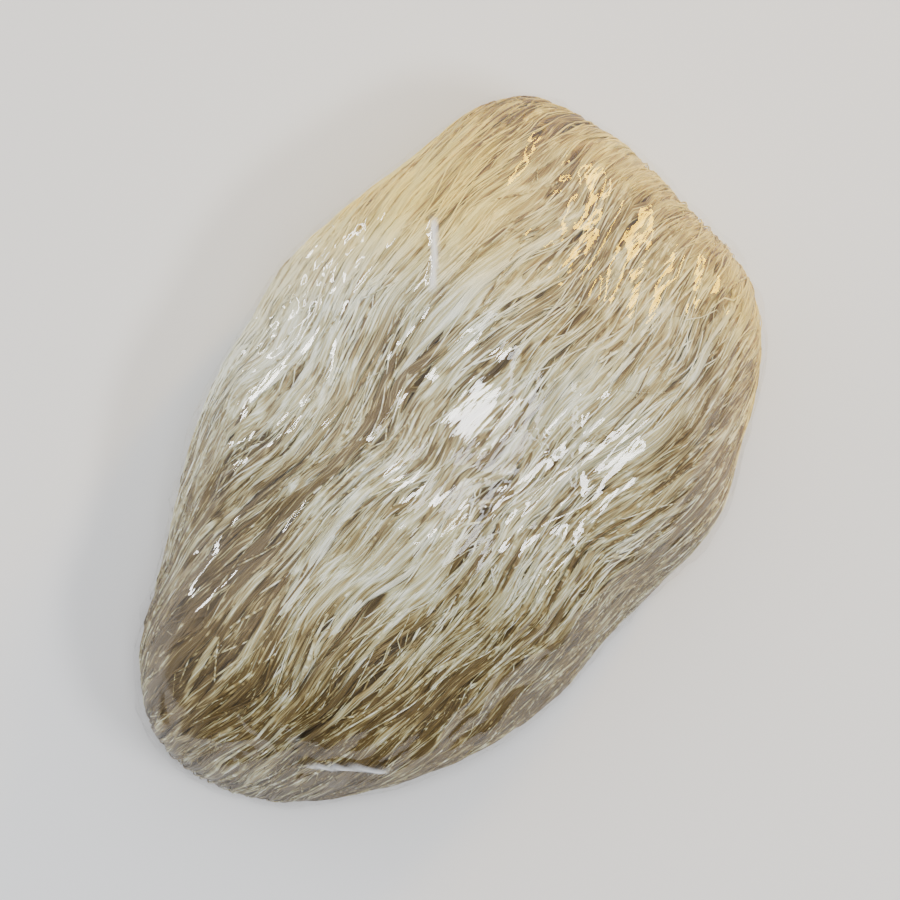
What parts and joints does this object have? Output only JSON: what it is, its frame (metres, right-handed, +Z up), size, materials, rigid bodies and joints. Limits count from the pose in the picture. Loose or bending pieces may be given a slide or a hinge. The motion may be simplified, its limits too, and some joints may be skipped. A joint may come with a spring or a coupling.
{
  "type": "edible bird's nest",
  "caption": "Half cup of pale, translucent hardened strands, lying hollow side down and wrapped in clear film folded under its rim.",
  "frame": {"origin": "middle of the bounding box's underside, on the surface that the part rests on", "axes": "+X from the narrow foot to the broad end of the nest, along its strands; +Z up, away from the hollow"},
  "size_m": [0.0932, 0.0616, 0.0324],
  "materials": {
    "nest": "dried translucent strands, satin, ivory to straw",
    "film_wrap": "clear, glossy, crinkled"
  },
  "bodies": {
    "root": {"nest": "nest", "film_wrap": "film_wrap"}
  },
  "joints": []
}
